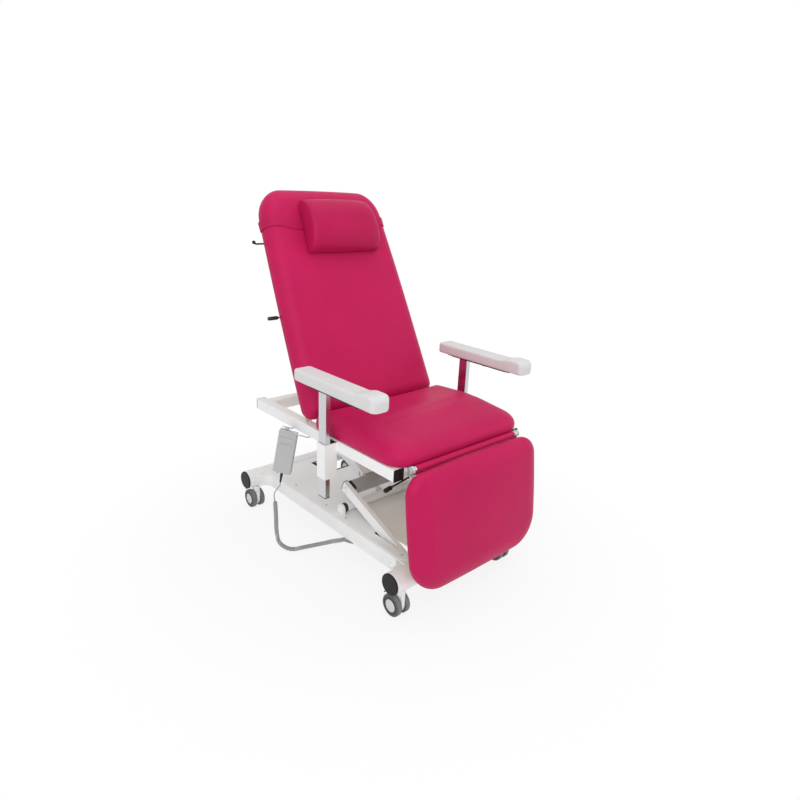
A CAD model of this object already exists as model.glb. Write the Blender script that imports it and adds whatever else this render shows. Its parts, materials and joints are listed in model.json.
# Looks and soft parts of a clinic rest armchair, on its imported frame. Lengths are in metres.
import json
import math
from collections import namedtuple

import bmesh
import bpy
import numpy as np
from mathutils import Matrix, Vector


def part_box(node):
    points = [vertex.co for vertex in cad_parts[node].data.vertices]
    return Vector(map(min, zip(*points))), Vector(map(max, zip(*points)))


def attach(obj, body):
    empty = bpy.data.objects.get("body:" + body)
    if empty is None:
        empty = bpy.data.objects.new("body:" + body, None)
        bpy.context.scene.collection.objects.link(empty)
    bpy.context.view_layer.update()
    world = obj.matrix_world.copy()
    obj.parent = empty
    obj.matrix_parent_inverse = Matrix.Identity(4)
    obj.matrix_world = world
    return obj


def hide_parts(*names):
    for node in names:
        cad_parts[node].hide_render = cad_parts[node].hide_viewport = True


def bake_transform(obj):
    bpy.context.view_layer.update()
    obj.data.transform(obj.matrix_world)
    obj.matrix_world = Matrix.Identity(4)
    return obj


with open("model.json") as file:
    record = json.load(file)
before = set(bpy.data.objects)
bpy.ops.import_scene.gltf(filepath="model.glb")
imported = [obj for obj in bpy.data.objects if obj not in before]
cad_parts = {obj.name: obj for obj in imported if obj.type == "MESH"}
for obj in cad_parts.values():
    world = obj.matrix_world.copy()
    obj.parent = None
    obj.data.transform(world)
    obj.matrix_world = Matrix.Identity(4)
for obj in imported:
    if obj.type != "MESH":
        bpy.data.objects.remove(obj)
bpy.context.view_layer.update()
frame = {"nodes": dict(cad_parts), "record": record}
NODES = frame["nodes"]


def middle_of(node):
    low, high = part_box(node)
    return (low + high) / 2


def size_of(node):
    low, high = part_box(node)
    return high - low


# The middle of the wheelbase, from which the places along the chair are measured
MIDDLE_Y = middle_of("cross_tubes").y


def placed(x, y, z):
    return Vector((x, y + MIDDLE_Y, z))


# Camera, fitted to the photograph
CAMERA_AT = placed(-1.43969, -1.6772, 1.33721)
CAMERA_YAW = math.radians(43.06)
CAMERA_PITCH = math.radians(18.94)
CAMERA_ROLL = math.radians(-2.73)
CAMERA_LENS = 27.466


def make_camera():
    forward = Vector((math.sin(CAMERA_YAW) * math.cos(CAMERA_PITCH),
                      math.cos(CAMERA_YAW) * math.cos(CAMERA_PITCH), -math.sin(CAMERA_PITCH)))
    level_right = Vector((math.cos(CAMERA_YAW), -math.sin(CAMERA_YAW), 0))
    level_down = forward.cross(level_right)
    right = math.cos(CAMERA_ROLL) * level_right + math.sin(CAMERA_ROLL) * level_down
    down = math.cos(CAMERA_ROLL) * level_down - math.sin(CAMERA_ROLL) * level_right
    camera = bpy.data.objects.new("camera", bpy.data.cameras.new("camera"))
    bpy.context.scene.collection.objects.link(camera)
    camera.data.lens = CAMERA_LENS
    turn = Matrix((right, -down, -forward)).transposed().to_4x4()
    camera.matrix_world = Matrix.Translation(CAMERA_AT) @ turn
    bpy.context.scene.camera = camera


make_camera()


# Mesh helpers

def new_object(name, vertices, faces):
    mesh = bpy.data.meshes.new(name)
    mesh.from_pydata([tuple(v) for v in vertices], [], faces)
    mesh.validate()
    mesh.update()
    edit = bmesh.new()
    edit.from_mesh(mesh)
    bmesh.ops.recalc_face_normals(edit, faces=edit.faces)
    edit.to_mesh(mesh)
    edit.free()
    for polygon in mesh.polygons:
        polygon.use_smooth = True
    piece = bpy.data.objects.new(name, mesh)
    bpy.context.scene.collection.objects.link(piece)
    return piece


def loft(name, rings, closed=False):
    """A skin over rings of equal length, capped at both ends unless they close on themselves."""
    count = len(rings[0])
    vertices = [p for ring in rings for p in ring]
    faces = []
    spans = len(rings) if closed else len(rings) - 1
    for i in range(spans):
        low, high = i * count, (i + 1) % len(rings) * count
        for j in range(count):
            k = (j + 1) % count
            faces.append((low + j, low + k, high + k, high + j))
    if not closed:
        for start in (0, (len(rings) - 1) * count):
            ring = vertices[start:start + count]
            vertices.append(np.mean([np.array(p) for p in ring], axis=0))
            centre = len(vertices) - 1
            faces += [(centre, start + j, start + (j + 1) % count) for j in range(count)]
    return new_object(name, vertices, faces)


def subdivide(piece, levels):
    modifier = piece.modifiers.new("smooth", "SUBSURF")
    modifier.levels = levels
    modifier.render_levels = levels
    return piece


def finish_piece(piece, body, slot, material, *replaced):
    piece.data.materials.clear()
    piece.data.materials.append(material)
    if body:
        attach(piece, body)
    if replaced:
        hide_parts(*replaced)
    return piece


def catmull_rom(points, samples):
    """The smooth line through the points, which runs as the cord's route in the frame does."""
    p = [np.array(q, float) for q in points]
    q = [2 * p[0] - p[1], *p, 2 * p[-1] - p[-2]]
    line = []
    for i in range(1, len(p)):
        a, b, c, d = q[i - 1:i + 3]
        for k in range(samples):
            t = k / samples
            line.append(((2 * b) + (c - a) * t + (2 * a - 5 * b + 4 * c - d) * t * t
                         + (3 * b - a - 3 * c + d) * t ** 3) / 2)
    return np.array(line + [p[-1]])


def unit(v):
    return v / np.linalg.norm(v)


def circle(sides):
    """The angles of a ring's points."""
    return np.linspace(0, 2 * math.pi, sides, endpoint=False)


def smooth_step(t):
    k = np.clip(t, 0, 1)
    return k * k * (3 - 2 * k)


# Materials

def shader(name):
    material = bpy.data.materials.new(name)
    material.use_nodes = True
    tree = material.node_tree
    surface = next(n for n in tree.nodes if n.type == "BSDF_PRINCIPLED")
    return material, tree, surface


def srgb(red, green, blue):
    """A linear colour from one written in 0 to 255."""
    def linear(c):
        c /= 255
        return c / 12.92 if c <= 0.04045 else ((c + 0.055) / 1.055) ** 2.4
    return (linear(red), linear(green), linear(blue), 1)


def coordinates(tree):
    return tree.nodes.new("ShaderNodeTexCoord").outputs["Object"]


def noise(tree, scale, detail, stretch=(1, 1, 1)):
    mapping = tree.nodes.new("ShaderNodeMapping")
    mapping.inputs["Scale"].default_value = stretch
    tree.links.new(coordinates(tree), mapping.inputs["Vector"])
    node = tree.nodes.new("ShaderNodeTexNoise")
    node.inputs["Scale"].default_value = scale
    node.inputs["Detail"].default_value = detail
    tree.links.new(mapping.outputs["Vector"], node.inputs["Vector"])
    return node.outputs["Fac"]


def grain(tree, scale):
    node = tree.nodes.new("ShaderNodeTexVoronoi")
    node.feature = "DISTANCE_TO_EDGE"
    node.inputs["Scale"].default_value = scale
    tree.links.new(coordinates(tree), node.inputs["Vector"])
    return node.outputs["Distance"]


def ramp(tree, factor, stops):
    node = tree.nodes.new("ShaderNodeValToRGB")
    elements = node.color_ramp.elements
    while len(elements) < len(stops):
        elements.new(0.5)
    for element, (place, colour) in zip(elements, stops):
        element.position = place
        element.color = colour
    tree.links.new(factor, node.inputs["Fac"])
    return node.outputs["Color"]


def shade(colour, share):
    return tuple(min(1, c * share) for c in colour[:3]) + (1,)


def vary_colour(tree, surface, factor, colour, spread):
    stops = [(0.3, shade(colour, 1 - spread)), (0.7, shade(colour, 1 + spread))]
    tree.links.new(ramp(tree, factor, stops), surface.inputs["Base Color"])


def vary_roughness(tree, surface, factor, low, high):
    node = tree.nodes.new("ShaderNodeMapRange")
    node.inputs["To Min"].default_value = low
    node.inputs["To Max"].default_value = high
    tree.links.new(factor, node.inputs["Value"])
    tree.links.new(node.outputs["Result"], surface.inputs["Roughness"])


def bump(tree, surface, factor, distance, strength=1.0):
    node = tree.nodes.new("ShaderNodeBump")
    node.inputs["Distance"].default_value = distance
    node.inputs["Strength"].default_value = strength
    tree.links.new(factor, node.inputs["Height"])
    last = surface.inputs["Normal"].links
    if last:
        tree.links.new(last[0].from_socket, node.inputs["Normal"])
    tree.links.new(node.outputs["Normal"], surface.inputs["Normal"])


# Scale and detail of the patches in a surface's dirt and in its gloss
DIRT = (9, 4)
PATCHES = (34, 5)
COAT_ROUGHNESS = 0.12


def surface_detail(tree, surface, patches, roughness, texture, depth):
    """Patchy gloss between two roughnesses, and a fine texture of the given scale and depth."""
    vary_roughness(tree, surface, noise(tree, *patches), *roughness)
    bump(tree, surface, noise(tree, texture, 2), depth)


def plain(name, colour, roughness, spread, texture, depth, metal=0, coat=0, gloss=0.5):
    """A painted, moulded or plated surface with faint dirt, patchy gloss and a fine texture."""
    material, tree, surface = shader(name)
    surface.inputs["Metallic"].default_value = metal
    surface.inputs["Coat Weight"].default_value = coat
    surface.inputs["Coat Roughness"].default_value = COAT_ROUGHNESS
    surface.inputs["Specular IOR Level"].default_value = gloss
    vary_colour(tree, surface, noise(tree, *DIRT), colour, spread)
    surface_detail(tree, surface, PATCHES, roughness, texture, depth)
    return material


def vinyl_material(name, colour):
    """Coated fabric with a fine grain and slow waves under it."""
    material, tree, surface = shader(name)
    surface.inputs["Sheen Weight"].default_value = 0.01
    surface.inputs["Sheen Roughness"].default_value = 0.45
    surface.inputs["Specular IOR Level"].default_value = 0.13
    vary_colour(tree, surface, noise(tree, scale=5, detail=3), colour, spread=0.05)
    vary_roughness(tree, surface, noise(tree, scale=60, detail=4), low=0.40, high=0.54)
    bump(tree, surface, grain(tree, scale=820), distance=0.00016, strength=0.55)
    bump(tree, surface, noise(tree, scale=21, detail=3), distance=0.0008, strength=0.20)
    return material


def plywood_material():
    """Wood grain, drawn out across the chair."""
    material, tree, surface = shader("plywood")
    bands = noise(tree, scale=14, detail=6, stretch=(9, 1, 1))
    fibres = noise(tree, scale=120, detail=4, stretch=(8, 1, 1))
    vary_colour(tree, surface, bands, srgb(205, 172, 124), spread=0.14)
    vary_roughness(tree, surface, noise(tree, scale=40, detail=4), low=0.55, high=0.75)
    bump(tree, surface, fibres, distance=0.0002, strength=0.5)
    return material


# Half the width over which one colour turns into another along an axis
MASK_EDGE = 0.0004


def step_mask(tree, value, limit):
    """Zero below the limit and one beyond it."""
    node = tree.nodes.new("ShaderNodeMapRange")
    node.inputs["From Min"].default_value = limit - MASK_EDGE
    node.inputs["From Max"].default_value = limit + MASK_EDGE
    tree.links.new(value, node.inputs["Value"])
    return node.outputs["Result"]


def axis_value(tree, axis):
    node = tree.nodes.new("ShaderNodeSeparateXYZ")
    tree.links.new(coordinates(tree), node.inputs["Vector"])
    return node.outputs[axis]


def radius_about_x(tree, centre):
    """Distance from the line along X through the centre."""
    offset = tree.nodes.new("ShaderNodeVectorMath")
    offset.operation = "SUBTRACT"
    offset.inputs[1].default_value = centre
    tree.links.new(coordinates(tree), offset.inputs[0])
    flat = tree.nodes.new("ShaderNodeVectorMath")
    flat.operation = "MULTIPLY"
    flat.inputs[1].default_value = (0, 1, 1)
    tree.links.new(offset.outputs["Vector"], flat.inputs[0])
    length = tree.nodes.new("ShaderNodeVectorMath")
    length.operation = "LENGTH"
    tree.links.new(flat.outputs["Vector"], length.inputs[0])
    return length.outputs["Value"]


WHEEL_R = size_of("castor_fl_wheels").z / 2
HUB_FACE_R = 0.022
HUB_R = 0.031
TREAD_R = WHEEL_R - 0.0012
# Radius at the end of the ramp of a wheel's colours, and the share of it between two colours
WHEEL_RAMP_R = WHEEL_R * 1.25
BAND_EDGE = 0.01
PLATED = srgb(205, 206, 208)
LINK_BUSH_X = 0.171
GRIP_L = 0.045
POST_CAP_T = 0.003
POST_PLATE_T = 0.004
# Share of a post's height between two colours
POST_EDGE = 0.0005


def wheel_material(node):
    """Light hub faces, a dark tyre and a paler tread, by the distance from the axle."""
    material, tree, surface = shader(node)
    scaled = tree.nodes.new("ShaderNodeMath")
    scaled.operation = "DIVIDE"
    scaled.inputs[1].default_value = WHEEL_RAMP_R
    tree.links.new(radius_about_x(tree, middle_of(node)), scaled.inputs[0])
    face, hub, tread = (radius / WHEEL_RAMP_R for radius in (HUB_FACE_R, HUB_R, TREAD_R))
    light, ring = srgb(222, 223, 225), srgb(60, 60, 62)
    dark, worn = srgb(86, 87, 89), srgb(120, 121, 122)
    colour = ramp(tree, scaled.outputs["Value"], [
        (0, light), (face, light), (face + BAND_EDGE, ring), (hub, ring),
        (hub + BAND_EDGE, dark), (tread, dark), (tread + BAND_EDGE, worn),
    ])
    tree.links.new(colour, surface.inputs["Base Color"])
    surface_detail(tree, surface, (60, 4), (0.38, 0.60), texture=500, depth=0.00006)
    return material


def lever_material(node):
    """A dark grip on a plated rod."""
    material, tree, surface = shader("lever_grip")
    mask = step_mask(tree, axis_value(tree, "X"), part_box(node)[0].x + GRIP_L)
    colour = ramp(tree, mask, [(0, srgb(40, 40, 42)), (1, PLATED)])
    tree.links.new(colour, surface.inputs["Base Color"])
    tree.links.new(mask, surface.inputs["Metallic"])
    surface_detail(tree, surface, (90, 4), (0.16, 0.34), texture=600, depth=0.00004)
    return material


def post_material(node):
    """A plated post with a black end cap at its foot and a dark plate under the pad."""
    material, tree, surface = shader(node)
    low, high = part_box(node)
    height = high.z - low.z
    share = tree.nodes.new("ShaderNodeMapRange")
    share.inputs["From Min"].default_value = low.z
    share.inputs["From Max"].default_value = high.z
    tree.links.new(axis_value(tree, "Z"), share.inputs["Value"])
    cap, plate = POST_CAP_T / height, 1 - POST_PLATE_T / height
    stops = (0, cap, cap + POST_EDGE, plate, plate + POST_EDGE)
    black, dark = srgb(30, 30, 31), srgb(58, 62, 62)
    off, on = (0, 0, 0, 1), (1, 1, 1, 1)
    for socket, values in (("Base Color", (black, black, PLATED, PLATED, dark)),
                           ("Metallic", (off, off, on, on, off))):
        banded = ramp(tree, share.outputs["Result"], list(zip(stops, values)))
        tree.links.new(banded, surface.inputs[socket])
    surface_detail(tree, surface, PATCHES, (0.10, 0.24), texture=400, depth=0.00001)
    return material


def link_material():
    """The link's white paint, with black bushes beyond a distance from the chair's middle plane."""
    material, tree, surface = shader("link_paint")
    far = tree.nodes.new("ShaderNodeMath")
    far.operation = "ABSOLUTE"
    tree.links.new(axis_value(tree, "X"), far.inputs[0])
    mask = step_mask(tree, far.outputs["Value"], LINK_BUSH_X)
    colour = ramp(tree, mask, [(0, srgb(244, 244, 245)), (1, srgb(36, 36, 38))])
    tree.links.new(colour, surface.inputs["Base Color"])
    surface_detail(tree, surface, PATCHES, (0.28, 0.44), texture=700, depth=0.00003)
    return material


# plain takes a name, a colour, the roughness from and to, the colour's spread, and the scale and
# depth of the texture
VINYL = vinyl_material("vinyl", srgb(194, 26, 87))
# The pillow and its strap are of a slightly darker batch
PILLOW_VINYL = vinyl_material("pillow_vinyl", srgb(186, 25, 82))
WHITE = plain("white_paint", srgb(247, 247, 248), (0.26, 0.40), 0.015, 700, 0.00003, coat=0.10)
BLACK = plain("black_plastic", srgb(26, 26, 27), (0.38, 0.58), 0.10, 1500, 0.00006, gloss=0.25)
CHROME = plain("chrome", PLATED, (0.10, 0.22), 0.03, 400, 0.00001, metal=1)
FOAM_SKIN = plain("pad_grey", srgb(220, 220, 220), (0.46, 0.62), 0.02, 1200, 0.00008)
HANDSET = plain("handset_grey", srgb(186, 187, 188), (0.40, 0.56), 0.03, 1400, 0.00006)
CABLE = plain("cable_grey", srgb(168, 169, 171), (0.42, 0.58), 0.05, 800, 0.00004)
PLYWOOD = plywood_material()
# Zinc-plated fittings, duller than the chromed ones
ZINC = plain("zinc_grey", srgb(176, 177, 180), (0.36, 0.52), 0.05, 500, 0.00003, metal=0.2)
SLOT_MATERIALS = {
    "white_paint": WHITE,
    "vinyl": VINYL,
    "black_plastic": BLACK,
    "chrome": CHROME,
    "pad_grey": FOAM_SKIN,
    "handset_grey": HANDSET,
    "cable_grey": CABLE,
    "plywood": PLYWOOD,
}


# The curly cord and its tail, which come first because their room is checked

CABLE_D = 0.0044
CURL_D = 0.0165
CURL_PITCH = 0.0058
CURL_STEPS = 16
CORD_SIDES = 8
CORD_SAMPLES = 10
CORD_LEAD = 0.014
CURL_START = 0.096
# Length of the curls that run on under the rail
TAIL_CURLED = 0.060
TANGENT_STEP = 0.004
LEAD_STEPS = 16
TAIL_STEPS = 36
# Route points from the middle of the wheelbase, as in the part's source
HANDSET_AT = placed(-0.347, 0.090, 0.418)
HANDSET_TURN = math.radians(-51.2)
HANDSET_TILT = math.radians(10)
HANDSET_H = 0.171
RELIEF_L = 0.042
CORD_ROUTE = [
    (-0.372, 0.1331, 0.2356), (-0.368, 0.1343, 0.1914), (-0.362, 0.1412, 0.1215),
    (-0.356, 0.1497, 0.0625), (-0.3565, 0.1328, 0.024), (-0.3483, 0.0994, 0.012),
    (-0.3325, 0.0711, 0.012), (-0.3045, 0.0443, 0.022), (-0.2789, 0.0077, 0.040),
    (-0.257, -0.0308, 0.060), (-0.243, -0.066, 0.080), (-0.2385, -0.092, 0.094),
]
CORD_JOINT = (-0.2335, -0.106, 0.10125)
TAIL_ROUTE = [(-0.208, -0.145, 0.102), (-0.182, -0.156, 0.108), (-0.173, -0.164, 0.132)]
GLAND_END = (-0.161, -0.165, 0.148)
CURL_REFERENCE = unit(np.array([0.86, 0.5, 0]))
# A direction that no tube starts along
TUBE_REFERENCE = [0.3, 0.2, 0.9]


def along(line):
    return np.concatenate([[0], np.cumsum(np.linalg.norm(np.diff(line, axis=0), axis=1))])


def sampler(line):
    at = along(line)
    return at[-1], lambda s: np.array([np.interp(s, at, line[:, k]) for k in range(3)])


def tube(name, centres, diameter, sides):
    """A round tube along its centres, with rings that keep their turn from one to the next."""
    rings = []
    normal = unit(np.cross(centres[1] - centres[0], TUBE_REFERENCE))
    for i in range(len(centres)):
        ahead = centres[min(i + 1, len(centres) - 1)] - centres[max(i - 1, 0)]
        tangent = unit(ahead)
        normal = unit(normal - tangent * (normal @ tangent))
        side = np.cross(tangent, normal)
        rings.append([centres[i] + (normal * math.cos(a) + side * math.sin(a)) * diameter / 2
                      for a in circle(sides)])
    return loft(name, rings)


def curls(line, start, end):
    """The curls between two distances along a line, opened and closed in one turn inside it."""
    total, point = sampler(line)
    turns = round((end - start) / CURL_PITCH) * CURL_STEPS
    radius = (CURL_D - CABLE_D) / 2
    centres = []
    for i in range(turns + 1):
        s = start + (end - start) * i / turns
        tangent = unit(point(min(s + TANGENT_STEP, total)) - point(max(s - TANGENT_STEP, 0)))
        normal = unit(CURL_REFERENCE - tangent * (CURL_REFERENCE @ tangent))
        turn = 2 * math.pi * i / CURL_STEPS
        swing = normal * math.cos(turn) + np.cross(tangent, normal) * math.sin(turn)
        opened = i / CURL_STEPS if start > 0 else 1
        closed = (turns - i) / CURL_STEPS if end < total else 1
        centres.append(point(s) + swing * radius * smooth_step(min(opened, closed)))
    return centres


def make_cords():
    up = Vector((math.sin(HANDSET_TILT) * math.cos(HANDSET_TURN),
                 math.sin(HANDSET_TILT) * math.sin(HANDSET_TURN), math.cos(HANDSET_TILT)))
    top = HANDSET_AT - up * (HANDSET_H / 2 + RELIEF_L)
    route = [placed(*p) for p in CORD_ROUTE]
    joint = placed(*CORD_JOINT)
    line = catmull_rom([top, top - up * CORD_LEAD, *route, joint], CORD_SAMPLES)
    total, point = sampler(line)
    centres = np.array([point(CURL_START * i / LEAD_STEPS) for i in range(LEAD_STEPS)]
                       + curls(line, CURL_START, total))
    curly = tube("cord_curls", centres, CABLE_D, CORD_SIDES)
    finish_piece(curly, None, "cable_grey", CABLE, "curly_cord")
    gland = placed(*GLAND_END)
    lead = Vector((CORD_LEAD, 0, 0))
    onward = joint + (joint - route[-1]).normalized() * CORD_LEAD
    tail_line = catmull_rom([joint, onward, *[placed(*p) for p in TAIL_ROUTE], gland - lead, gland],
                            CORD_SAMPLES)
    total, point = sampler(tail_line)
    tail_centres = np.array(curls(tail_line, 0, TAIL_CURLED)
                            + [point(TAIL_CURLED + (total - TAIL_CURLED) * i / TAIL_STEPS)
                               for i in range(1, TAIL_STEPS + 1)])
    tail = tube("cord_under_cover", tail_centres, CABLE_D, CORD_SIDES)
    finish_piece(tail, None, "cable_grey", CABLE, "cord_tail")
    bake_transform(curly)
    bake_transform(tail)


make_cords()


# Floor, backdrop and light

FLOOR_SIZE = 30
# The floor shows its shadow near the chair, and fades to plain white between these two distances
SHADOW_FULL_R = 0.55
SHADOW_END_R = 1.25
SHADOW_GLOW = 0.84
FLOOR_COLOUR = (0.92, 0.92, 0.92, 1)
FLOOR_ROUGHNESS = 0.7
WORLD_STRENGTH = 0.52


def shown_rays(tree, rays):
    """One for rays from the camera and for rays that a glossy or clear surface sends on."""
    value = rays.outputs["Is Camera Ray"]
    for ray in ("Is Glossy Ray", "Is Transmission Ray"):
        either = tree.nodes.new("ShaderNodeMath")
        either.operation = "MAXIMUM"
        tree.links.new(value, either.inputs[0])
        tree.links.new(rays.outputs[ray], either.inputs[1])
        value = either.outputs["Value"]
    return value


def make_floor():
    half = FLOOR_SIZE / 2
    corners = [(-half, -half, 0), (half, -half, 0), (half, half, 0), (-half, half, 0)]
    floor = new_object("floor", corners, [(0, 1, 2, 3)])
    material, tree, surface = shader("floor")
    surface.inputs["Base Color"].default_value = FLOOR_COLOUR
    surface.inputs["Roughness"].default_value = FLOOR_ROUGHNESS
    glow = tree.nodes.new("ShaderNodeEmission")
    rays = tree.nodes.new("ShaderNodeLightPath")
    away = tree.nodes.new("ShaderNodeVectorMath")
    away.operation = "LENGTH"
    fade = tree.nodes.new("ShaderNodeMapRange")
    fade.interpolation_type = "SMOOTHSTEP"
    fade.inputs["From Min"].default_value = SHADOW_FULL_R
    fade.inputs["From Max"].default_value = SHADOW_END_R
    fade.inputs["To Min"].default_value = SHADOW_GLOW
    share = tree.nodes.new("ShaderNodeMath")
    share.operation = "MULTIPLY"
    mix = tree.nodes.new("ShaderNodeMixShader")
    output = next(n for n in tree.nodes if n.type == "OUTPUT_MATERIAL")
    tree.links.new(coordinates(tree), away.inputs[0])
    tree.links.new(away.outputs["Value"], fade.inputs["Value"])
    tree.links.new(shown_rays(tree, rays), share.inputs[0])
    tree.links.new(fade.outputs["Result"], share.inputs[1])
    tree.links.new(share.outputs["Value"], mix.inputs["Fac"])
    tree.links.new(surface.outputs["BSDF"], mix.inputs[1])
    tree.links.new(glow.outputs["Emission"], mix.inputs[2])
    tree.links.new(mix.outputs["Shader"], output.inputs["Surface"])
    floor.data.materials.append(material)


def make_world():
    world = bpy.data.worlds.new("studio")
    bpy.context.scene.world = world
    world.use_nodes = True
    tree = world.node_tree
    soft = next(n for n in tree.nodes if n.type == "BACKGROUND")
    soft.inputs["Color"].default_value = (1, 1, 1, 1)
    soft.inputs["Strength"].default_value = WORLD_STRENGTH
    shown = tree.nodes.new("ShaderNodeBackground")
    shown.inputs["Color"].default_value = (1, 1, 1, 1)
    rays = tree.nodes.new("ShaderNodeLightPath")
    mix = tree.nodes.new("ShaderNodeMixShader")
    output = next(n for n in tree.nodes if n.type == "OUTPUT_WORLD")
    tree.links.new(shown_rays(tree, rays), mix.inputs["Fac"])
    tree.links.new(soft.outputs["Background"], mix.inputs[1])
    tree.links.new(shown.outputs["Background"], mix.inputs[2])
    tree.links.new(mix.outputs["Shader"], output.inputs["Surface"])


def softbox(name, place, aim, size, power):
    """A square lamp that faces a point on the chair, of the given side and power."""
    light = bpy.data.lights.new(name, "AREA")
    light.shape = "SQUARE"
    light.size = size
    light.energy = power
    lamp = bpy.data.objects.new(name, light)
    bpy.context.scene.collection.objects.link(lamp)
    lamp.location = place
    lamp.rotation_euler = (Vector(aim) - Vector(place)).to_track_quat("-Z", "Y").to_euler()


make_floor()
make_world()
softbox("key", (-2.2, -2.4, 2.6), (0, 0, 0.5), 2.2, 46)
softbox("overhead", (0.2, -0.2, 3.6), (0, 0, 0.5), 2.6, 26)
softbox("side", (-3.0, 0.6, 1.4), (0, 0, 0.4), 2.2, 7)
softbox("fill", (2.6, -2.0, 1.7), (0, 0, 0.6), 2.4, 10)
bpy.context.scene.view_settings.view_transform = "Standard"


# Looks of the rigid nodes

SMOOTH_ANGLE = math.radians(32)
WHEEL_SLOT = "wheel_grey"


def dress_nodes():
    slots = {part["node"]: part["material_slot"] for part in frame["record"]["subparts"]}
    for name, node in NODES.items():
        slot = slots[name]
        material = wheel_material(name) if slot == WHEEL_SLOT else SLOT_MATERIALS[slot]
        node.data.materials.clear()
        node.data.materials.append(material)
        for polygon in node.data.polygons:
            polygon.use_smooth = True
        node.data.set_sharp_from_angle(angle=SMOOTH_ANGLE)
    NODES["back_lever_lower"].data.materials[0] = lever_material("back_lever_lower")
    NODES["levelling_link"].data.materials[0] = link_material()
    NODES["lift_cross_tube"].data.materials[0] = ZINC
    for node in ("armrest_post_left", "armrest_post_right"):
        NODES[node].data.materials[0] = post_material(node)


dress_nodes()


# Small fittings

# The leg rest's hinge, and its fittings' profiles: distances from the middle plane and radii
LEG_AT = placed(0, -0.476, 0.534)
HINGE_CUP = [(0.2392, 0.0088), (0.2400, 0.0104), (0.2440, 0.0116), (0.2528, 0.0122)]
HINGE_CAP = [(0.2592, 0.0124), (0.2606, 0.0122), (0.2628, 0.0108), (0.2642, 0.0080),
             (0.2648, 0.0040), (0.2649, 0.0008)]
HINGE_SIDES = 40
SCREW_R = 0.0042
SCREW_RISE = 0.0012
SCREW_SIDES = 24
# Profile of a screw's head: radii and heights over the cover
SCREW_PROFILE = [(SCREW_R, -0.0003), (SCREW_R, SCREW_RISE / 3), (SCREW_R * 0.8, SCREW_RISE * 0.8),
                 (SCREW_R * 0.4, SCREW_RISE), (SCREW_R * 0.3, SCREW_RISE * 0.3)]
# Places of the cover's screws along the chair, from the middle of the wheelbase, and across it
SCREW_ROWS = (-0.396, -0.084, 0.040, 0.250, 0.396)
SCREW_X = 0.199


def turned(name, centre, sign, profile):
    """A piece turned about a line along X, from its profile of distances and radii."""
    rings = [[(centre.x + sign * x, centre.y + r * math.cos(a), centre.z + r * math.sin(a))
              for a in circle(HINGE_SIDES)] for x, r in profile]
    return loft(name, rings)


def make_hinge_fittings():
    """Plated cups at the roll's ends and caps on the hinge's lugs."""
    for side, sign in (("left", 1), ("right", -1)):
        for name, profile in (("cup", HINGE_CUP), ("cap", HINGE_CAP)):
            piece = turned(f"hinge_{name}_{side}", LEG_AT, sign, profile)
            finish_piece(piece, "seat_frame", "chrome", ZINC)


def make_screws():
    """Low round heads along both edges of the cover."""
    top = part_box("base_cover")[1].z
    for i, y in enumerate(SCREW_ROWS):
        for side, x in (("left", SCREW_X), ("right", -SCREW_X)):
            centre = placed(x, y, top)
            rings = [[(centre.x + r * math.cos(a), centre.y + r * math.sin(a), centre.z + z)
                      for a in circle(SCREW_SIDES)] for r, z in SCREW_PROFILE]
            finish_piece(loft(f"cover_screw_{side}_{i + 1}", rings), "base", "chrome", ZINC)


make_hinge_fittings()
make_screws()


# Cushions

class Place:
    """A frame on the chair: a point, and the directions to a cushion's rear and along it."""

    def __init__(self, at, lean):
        self.at = np.array(at)
        self.rear = np.array([0, math.cos(lean), -math.sin(lean)])
        self.length = np.array([0, math.sin(lean), math.cos(lean)])

    def point(self, x, y, s):
        return self.at + np.array([x, 0, 0]) + self.rear * y + self.length * s


RAIL_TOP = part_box("seat_rail_left")[1].z
RECLINE = math.radians(26.4)
LEG_LEAN = math.radians(7.5)
BACK_T = 0.075
BACK_AT = placed(0, -0.0339, 0.560)
SOFT_GAP = 0.0003
BOARD_T = 0.012
# Where the back's and the leg rest's pads start along them, and the leg pad's rear face
BACK_START = 0.014
LEG_START = -0.404
LEG_FACE_Y = -0.012
BACK_PLACE = Place(BACK_AT, RECLINE)
BACK_REAR = Place(BACK_PLACE.point(0, BACK_T, BACK_START), RECLINE)
LEG_REAR = Place(Place(LEG_AT, LEG_LEAN).point(0, LEG_FACE_Y, LEG_START), LEG_LEAN)
SEAT_PLACE = Place(placed(0, -0.470, RAIL_TOP + SOFT_GAP), math.radians(90))

# Half widths and corner radii are those at the start and at the end. The sides draw in by draw
# between the corners, or stand out where it is below zero, and lift raises the face along them.
Size = namedtuple("Size", "width_0 width_1 length thick crown radius_0 radius_1 draw lift")
SEAT_SIZE = Size(0.306, 0.306, 0.447, 0.066, 0.007, 0.078, 0.030, 0, 0.014)
BACK_SIZE = Size(0.308, 0.268, 0.848, 0.075, 0.009, 0.040, 0.104, -0.005, 0)
LEG_SIZE = Size(0.297, 0.305, 0.397, 0.057, 0.007, 0.112, 0.062, -0.006, 0)
# Reach of each cushion's round edge into its face
SEAT_EDGE = 0.062
BACK_EDGE = 0.058
LEG_EDGE = 0.072
BOARD_EDGE = 0.016
CORNER_STEPS = 22
SIDE_STEPS = 34
END_STEPS = 26
CROWN_RINGS = 16
# Size of the last ring, beside the middle of the face
CROWN_END = 0.03
# The rim from the rear edge to its widest place: shares of the edge's reach and of the thickness
RIM_UNDER = [(0.16, 0), (0.07, 0.08), (0.02, 0.18), (0.003, 0.28)]
RIM_WIDEST = 0.38
RIM_STEPS = 16
# Small folds in the rim's skin at the corners, and the share of the thickness that they cover
PUCKER_DEPTH = 0.0014
PUCKER_WAVES = 7
PUCKER_REACH = 0.75


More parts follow.
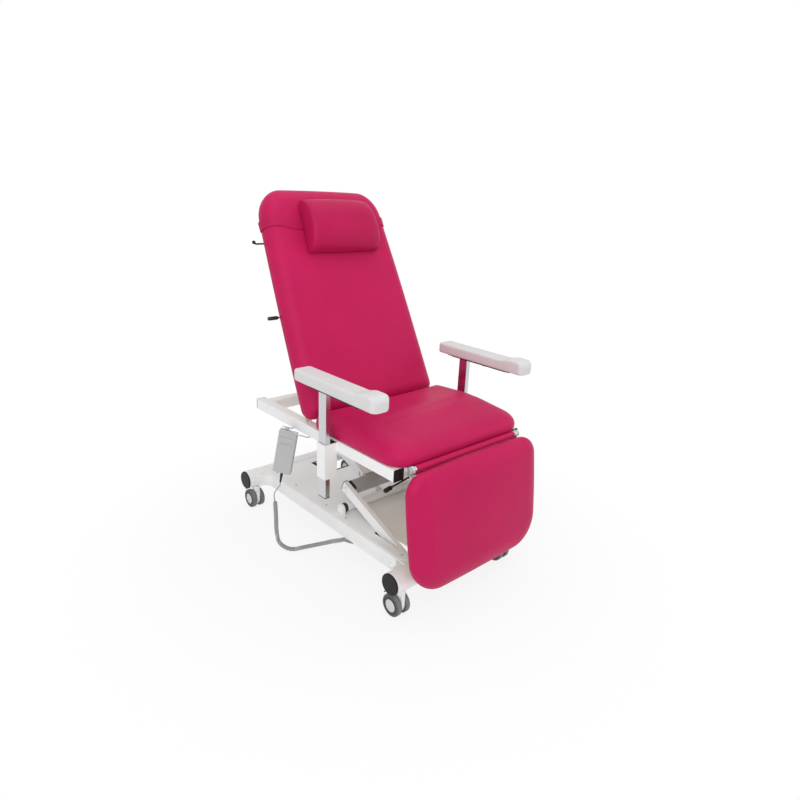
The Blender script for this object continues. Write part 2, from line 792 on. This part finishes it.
def outline(w, s0, s1, r0, r1):
    """A rounded outline as points (x, s), the same way round as the source's."""
    def arc(x, s, start, r):
        return [(x + r * math.cos(a), s + r * math.sin(a))
                for a in np.radians(np.linspace(start, start + 90, CORNER_STEPS + 1))]

    def between(p, q, steps):
        p, q = np.array(p), np.array(q)
        return [tuple(p + (q - p) * i / steps) for i in range(1, steps)]

    a = arc(w - r0, s0 + r0, -90, r0)
    b = arc(w - r1, s1 - r1, 0, r1)
    c = arc(r1 - w, s1 - r1, 90, r1)
    d = arc(r0 - w, s0 + r0, 180, r0)
    return (a + between(a[-1], b[0], SIDE_STEPS) + b + between(b[-1], c[0], END_STEPS)
            + c + between(c[-1], d[0], SIDE_STEPS) + d + between(d[-1], a[0], END_STEPS))


def cushion_rings(size, edge, shape):
    """Rings of (x, y, s) from the rear face round the rim to the front's middle, y to the rear."""
    w0, w1, length, thick, crown, r0, r1, draw, lift = size

    def inset_outline(inset):
        return outline(w0 - inset, inset, length - inset,
                       max(r0 - inset, r0 / 4), max(r1 - inset, r1 / 4))

    def point(x, s, rise):
        u, v = x / w0, 2 * s / length - 1
        taper = 1 + (w1 / w0 - 1) * s / length
        across = x * taper * (1 - draw / w0 * (1 - v * v))
        place = length / 2 + (s - length / 2) * (1 - 2 * draw / length * (1 - u * u))
        domed = thick + crown * (1 - u * u) * (1 - v * v)
        lifted = domed + 2 * lift * u * u * max(0, v) * (1 - v * v)
        return np.array([across, -rise * (lifted + shape(u, v)), place])

    rings = [[point(x, s, BOARD_T / thick) for x, s in inset_outline(BOARD_EDGE)],
             [point(x, s, 0) for x, s in inset_outline(BOARD_EDGE)]]
    rim = RIM_UNDER + [(1 - math.cos(a), RIM_WIDEST + (1 - RIM_WIDEST) * math.sin(a))
                       for a in np.linspace(0, math.pi / 2, RIM_STEPS)]
    for inset, rise in rim:
        rings.append([point(x, s, rise) for x, s in inset_outline(edge * inset)])
    flat = inset_outline(edge)
    for k in np.linspace(1, CROWN_END, CROWN_RINGS)[1:]:
        rings.append([point(x * k, length / 2 + (s - length / 2) * k, 1) for x, s in flat])
    return rings


def pucker(rings, thick):
    """Draws the skin of the rim into small folds round its corners, deepest near the rear edge."""
    folds = np.zeros(len(rings[0]))
    t = np.linspace(0, 1, CORNER_STEPS + 1)
    corner = np.sin(math.pi * t) ** 0.7 * (0.5 + 0.5 * np.sin(t * PUCKER_WAVES * 2 * math.pi))
    start = 0
    for straight in (SIDE_STEPS, END_STEPS, SIDE_STEPS, END_STEPS):
        folds[start:start + len(corner)] = corner
        start += len(corner) + straight - 1
    for ring in rings[2:]:
        middle = np.mean(ring, axis=0)
        for j, p in enumerate(ring):
            share = smooth_step(1 + p[1] / (PUCKER_REACH * thick))
            out = unit(np.array([p[0] - middle[0], 0, p[2] - middle[2]]))
            ring[j] = p - out * PUCKER_DEPTH * share * folds[j]
    return rings


def cushion(name, place, size, edge, shape, body, node):
    """Makes a cushion in its place, and gives its rings there as (x, y, s)."""
    rings = pucker(cushion_rings(size, edge, shape), size.thick)
    piece = loft(name, [[place.point(*p) for p in ring] for ring in rings])
    subdivide(piece, 1)
    finish_piece(piece, body, "vinyl", VINYL, node)
    return rings


def bell(t, width):
    return math.exp(-(t / width) ** 2)


# What each cushion's face has over its crown. u runs from -1 to 1 across it, and v along it.
SEAT_DOME = 0.014
SEAT_FRONT_FALL = 0.006
SEAT_HOLLOW = 0.003
SEAT_FOLD_CREST = 0.0013
SEAT_FOLD_TROUGH = 0.0016
BACK_HOLLOW = 0.003
BACK_WAVES = 0.0006
LEG_DOME = 0.005
LEG_WAVES = 0.0008


def seat_shape(u, v):
    """Highest across the middle, lower to the front, hollow at the rear, with one soft fold."""
    dome = SEAT_DOME * bell(v + 0.02, 0.42)
    front = SEAT_FRONT_FALL * smooth_step((-0.45 - v) / 0.55)
    hollow = SEAT_HOLLOW * bell(u, 0.5) * bell(v - 0.45, 0.4)
    line = v + 0.16 - 0.09 * u - 0.05 * u * u
    fold = SEAT_FOLD_CREST * bell(line + 0.09, 0.13) - SEAT_FOLD_TROUGH * bell(line - 0.06, 0.090)
    return dome - front - hollow + fold * smooth_step((0.95 - abs(u)) / 0.5)


def back_shape(u, v):
    """The padding is flatter in the middle and fuller along both sides."""
    return BACK_WAVES * math.sin(5 * v + 1.3 * u) - BACK_HOLLOW * bell(u, 0.5) * (1 - v ** 4)


def leg_shape(u, v):
    """A full pad with slow waves, which fade to its sides."""
    return (LEG_DOME * (1 - v * v) + LEG_WAVES * math.sin(3 * v + 2 * u)) * (1 - u * u)


cushion("seat_pad", SEAT_PLACE, SEAT_SIZE, SEAT_EDGE, seat_shape, "seat_frame", "seat_cushion")
cushion("leg_pad", LEG_REAR, LEG_SIZE, LEG_EDGE, leg_shape, "leg_rest", "leg_cushion")
BACK_RINGS = cushion("back_pad", BACK_REAR, BACK_SIZE, BACK_EDGE, back_shape, "backrest",
                     "back_cushion")


# Head pillow with its strap

PILLOW_W = 0.306
PILLOW_H = 0.205
PILLOW_T = 0.078
PILLOW_S = 0.703
# Distance from the pillow's middle, size of the section there, its share of the full depth, and
# its squareness, from the bulged end panel over the seam to the full middle
PILLOW_ENDS = [
    (1.000, 0.30, 0.80, 0.95), (0.998, 0.60, 0.80, 0.97), (0.990, 0.85, 0.80, 0.98),
    (0.982, 0.955, 0.80, 1.00), (0.976, 0.985, 0.80, 1.00), (0.970, 0.980, 0.81, 0.99),
    (0.955, 0.978, 0.84, 0.97), (0.920, 0.972, 0.89, 0.93), (0.860, 0.968, 0.94, 0.88),
    (0.760, 0.966, 0.98, 0.83), (0.600, 0.968, 1.00, 0.80), (0.400, 0.972, 1.01, 0.79),
    (0.200, 0.975, 1.01, 0.78),
]
PILLOW_MIDDLE = (0, 0.976, 1.01, 0.78)
PILLOW_STEPS = 44
PILLOW_REAR_STEPS = 14
# How far the pillow sits to the left
PILLOW_SHIFT = 0.011
# Share by which the pillow is wider at its lower edge and narrower at its upper one
PILLOW_SPREAD = 0.05
# Share by which gathers draw in the skin at the end seams, and the squareness where they start
GATHER = 0.014
GATHER_START = 0.86


def pillow_section(x, size, depth, power):
    """A flat rear side and a round front, with the skin gathered a little at the end seams."""
    points = [(0, size * PILLOW_H * (i / PILLOW_REAR_STEPS - 0.5))
              for i in range(PILLOW_REAR_STEPS)]
    near_end = smooth_step((power - GATHER_START) / (1 - GATHER_START))
    for i in range(PILLOW_STEPS):
        a = math.pi * i / PILLOW_STEPS
        gather = 1 - GATHER * near_end * (0.5 + 0.5 * math.sin(13 * a))
        c = math.cos(a)
        points.append((-size * depth * gather * PILLOW_T * math.sin(a) ** power,
                       size * gather * PILLOW_H / 2 * math.copysign(abs(c) ** power, c)))
    return [(PILLOW_SHIFT + x * (1 - PILLOW_SPREAD * 2 * s / PILLOW_H), y, s) for y, s in points]


def make_pillow():
    place = Place(BACK_PLACE.point(0, -BACK_SIZE.crown - SOFT_GAP, PILLOW_S), RECLINE)
    first_half = [(-share, *rest) for share, *rest in PILLOW_ENDS]
    stations = first_half + [PILLOW_MIDDLE] + PILLOW_ENDS[::-1]
    rings = [[place.point(*p) for p in pillow_section(share * PILLOW_W / 2, *rest)]
             for share, *rest in stations]
    pillow = subdivide(loft("pillow", rings), 1)
    finish_piece(pillow, "headrest", "vinyl", PILLOW_VINYL, "head_pillow")


# The strap's middle along the back pad
STRAP_S = 0.6995
STRAP_W = 0.034
# How far above and below the strap the back pad's points count for its path
STRAP_MARGIN = 0.008
STRAP_T = 0.0022
STRAP_STEPS = 160
STRAP_EASE = 0.0006
# The strap rises from the pillow's ends to the sides of the back, and stays that high behind it
STRAP_LIFT = 0.020
STRAP_FRONT_Y = -0.05


def hull_2d(points):
    """The outer corners of a set of points in the plane, in order."""
    points = sorted(set(points))

    def half(run):
        chain = []
        for p in run:
            while len(chain) > 1:
                (ax, ay), (bx, by) = chain[-2], chain[-1]
                if (bx - ax) * (p[1] - ay) - (by - ay) * (p[0] - ax) > 0:
                    break
                chain.pop()
            chain.append(p)
        return chain[:-1]
    return half(points) + half(points[::-1])


def make_strap():
    """A taut band round the back: the outer hull of the cushion and board at its height."""
    low, high = STRAP_S - STRAP_W / 2, STRAP_S + STRAP_W / 2
    near = [(round(p[0], 5), round(p[1], 5)) for ring in BACK_RINGS for p in ring
            if low - STRAP_MARGIN < p[2] < high + STRAP_MARGIN]
    corners = np.array(hull_2d(near))
    corners = np.vstack([corners, corners[:1]])
    total, point = sampler(np.column_stack([corners, np.zeros(len(corners))]))
    path = np.array([point(total * i / STRAP_STEPS)[:2] for i in range(STRAP_STEPS)])
    ahead = np.roll(path, -2, axis=0) - np.roll(path, 2, axis=0)
    outward = np.column_stack([ahead[:, 1], -ahead[:, 0]])
    outward /= np.linalg.norm(outward, axis=1)[:, None]
    rings = []
    for p, out in zip(path, outward):
        spread = (abs(p[0]) - PILLOW_W / 2) / (BACK_SIZE.width_1 - PILLOW_W / 2)
        lift = STRAP_LIFT * (smooth_step(spread) if p[1] < STRAP_FRONT_Y else 1)
        inner, outer = p + out * STRAP_EASE, p + out * (STRAP_EASE + STRAP_T)
        bulge = p + out * (STRAP_EASE + STRAP_T * 0.6)
        section = [(inner, low), (inner, high), (bulge, high + STRAP_T / 3),
                   (outer, high - STRAP_T / 2), (outer, low + STRAP_T / 2),
                   (bulge, low - STRAP_T / 3)]
        rings.append([BACK_REAR.point(q[0], q[1], s + lift) for q, s in section])
    strap = subdivide(loft("strap", rings, closed=True), 1)
    finish_piece(strap, "headrest", "vinyl", PILLOW_VINYL, "head_strap")


make_pillow()
make_strap()


# The padded roll in front of the seat, and the flap of its cover

ROLL_STATIONS = 90
ROLL_SIDES = 28
ROLL_END_STEPS = 8
ROLL_D = 0.0245
ROLL_HALF = size_of("leg_roll").x / 2
ROLL_SAG = 0.001
ROLL_DENT = 0.0004
FLAP_TOP = 0.001
FLAP_T = 0.0016
FLAP_Y = 0.009
FLAP_DROP = 0.028
FLAP_WAVE = 0.0008
FLAP_RIPPLE = 0.0005
FLAP_STATIONS = 60


def make_roll():
    """A soft roll with rounded ends and shallow dents along it."""
    radius = ROLL_D / 2
    end = radius / 2
    stations = [(ROLL_HALF - end + end * math.sin(a), radius - end + end * math.cos(a))
                for a in np.linspace(0, math.pi / 2, ROLL_END_STEPS)]
    middle = [(x, radius - ROLL_DENT * (0.5 + 0.5 * math.sin(70 * x) * math.sin(31 * x + 1)))
              for x in np.linspace(end - ROLL_HALF, ROLL_HALF - end, ROLL_STATIONS)]
    profile = [(-x, r) for x, r in stations[:0:-1]] + middle + stations[1:]
    rings = [[(LEG_AT.x + x, LEG_AT.y + r * math.cos(a), LEG_AT.z - ROLL_SAG + r * math.sin(a))
              for a in circle(ROLL_SIDES)] for x, r in profile]
    roll = subdivide(loft("roll", rings), 1)
    finish_piece(roll, "seat_frame", "vinyl", VINYL, "leg_roll")


def make_flap():
    """The roll's cover runs on to the frame under the seat. Its edge hangs behind the roll."""
    half = ROLL_HALF - ROLL_D / 4
    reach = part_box("leg_roll")[1].y - LEG_AT.y
    front, rear = FLAP_Y, FLAP_Y + FLAP_T
    rings = []
    for x in np.linspace(-half, half, FLAP_STATIONS):
        sway = FLAP_WAVE * math.sin(41 * x) + FLAP_RIPPLE * math.sin(97 * x + 1)
        hem = FLAP_WAVE * math.sin(29 * x + 2) - FLAP_DROP
        section = [(front, FLAP_TOP), (reach, FLAP_TOP), (reach, FLAP_TOP - FLAP_T),
                   (rear + FLAP_T, FLAP_TOP - FLAP_T), (rear, -FLAP_T),
                   (rear + sway / 2, -FLAP_DROP / 2), (rear + sway, hem),
                   (front + sway, hem), (front + sway / 2, -FLAP_DROP / 2)]
        rings.append([(x, LEG_AT.y + y, LEG_AT.z + z) for y, z in section])
    finish_piece(loft("roll_flap", rings), "seat_frame", "vinyl", VINYL)


make_roll()
make_flap()


# Armrest pads

PAD_T = 0.040
PAD_HUMP = 0.009
PAD_EDGE = 0.008
PAD_PLAN_R = 0.016
HUMP_START_SHARE = 0.76
HUMP_RISE_SHARE = 0.6
NOSE_SHARE = 0.6
PAD_STATIONS = 70
PAD_CORNER_STEPS = 5
PAD_CLEAR = 0.0003
# The dark board under a pad, and the shares of the pad's length where it starts and ends
BACKING_T = 0.0032
BACKING_INSET = 0.005
BACKING_START = 0.15
BACKING_END = 0.86
BACKING_STATIONS = 17
KNOB_R = 0.011
KNOB_H = 0.012
KNOB_Y = -0.235
KNOB_SIDES = 72
KNOB_FLUTES = 9
KNOB_FLUTE_DEPTH = 0.05
# Heights of the knob's rings over the pad's underside, and their shares of its radius
KNOB_PROFILE = [(0.001, 1), (-0.003, 1), (0.002 - KNOB_H, 1),
                (0.0005 - KNOB_H, 0.93), (-KNOB_H, 0.8)]


def pad_height(t, length):
    """Height of the pad over its underside at a distance t from its rear end."""
    nose = PAD_T * NOSE_SHARE
    start, full = length * HUMP_START_SHARE, PAD_T + PAD_HUMP
    run = (length - nose - start) * HUMP_RISE_SHARE
    height = PAD_T + PAD_HUMP * smooth_step((t - start) / run)
    if t > length - nose:
        height = full - nose + math.sqrt(max(0, nose ** 2 - (t - length + nose) ** 2))
    if t < PAD_EDGE:
        height = PAD_T - PAD_EDGE + math.sqrt(max(0, PAD_EDGE ** 2 - (PAD_EDGE - t) ** 2))
    return height


def pad_half_width(t, length, half):
    """Half the pad's width there, with round corners seen from above."""
    near = min(t, length - t)
    if near >= PAD_PLAN_R:
        return half
    return half - PAD_PLAN_R + math.sqrt(max(0, PAD_PLAN_R ** 2 - (PAD_PLAN_R - near) ** 2))


def pad_section(half, height, y, centre_x, base_z):
    """A section with rounded corners, across the pad."""
    r = min(PAD_EDGE, height / 3, half / 2)
    points = []
    for x, z, start in ((half - r, height - r, 0), (r - half, height - r, 90),
                        (r - half, r, 180), (half - r, r, 270)):
        for a in np.radians(np.linspace(start, start + 90, PAD_CORNER_STEPS)):
            points.append((centre_x + x + r * math.cos(a), y, base_z + z + r * math.sin(a)))
    return points


def make_knob(side, centre):
    """A fluted clamp knob under the pad."""
    flutes = [1 - KNOB_FLUTE_DEPTH * (1 + math.cos(KNOB_FLUTES * a)) for a in circle(KNOB_SIDES)]
    rings = [[(centre.x + math.cos(a) * share * KNOB_R * flute,
               centre.y + math.sin(a) * share * KNOB_R * flute, centre.z + z)
              for a, flute in zip(circle(KNOB_SIDES), flutes)] for z, share in KNOB_PROFILE]
    finish_piece(loft(f"pad_knob_{side}", rings), f"armrest_{side}", "pad_grey", FOAM_SKIN)


def make_pad(side):
    """An armrest pad with its backing board and clamp knob."""
    node = f"armrest_pad_{side}"
    low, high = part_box(node)
    centre_x, half = (low.x + high.x) / 2, (high.x - low.x) / 2
    length = high.y - low.y
    base_z = low.z + KNOB_H
    ease = np.linspace(0, math.pi, PAD_STATIONS)
    places = length * (1 - np.cos(ease)) / 2
    rings = [pad_section(pad_half_width(t, length, half), pad_height(t, length), high.y - t,
                         centre_x, base_z)
             for t in np.clip(places, PAD_CLEAR, length - PAD_CLEAR)]
    pad = subdivide(loft(f"pad_{side}", rings), 1)
    finish_piece(pad, f"armrest_{side}", "pad_grey", FOAM_SKIN, node)
    places = length * np.linspace(BACKING_START, BACKING_END, BACKING_STATIONS)
    ends = BACKING_INSET * np.array([1] + [0] * (len(places) - 2) + [1])
    rings = [pad_section(half - BACKING_INSET - end, BACKING_T, high.y - t,
                         centre_x, base_z - BACKING_T)
             for t, end in zip(places, ends)]
    finish_piece(loft(f"pad_backing_{side}", rings), f"armrest_{side}", "black_plastic", BLACK)
    make_knob(side, placed(centre_x, KNOB_Y, base_z))


make_pad("left")
make_pad("right")
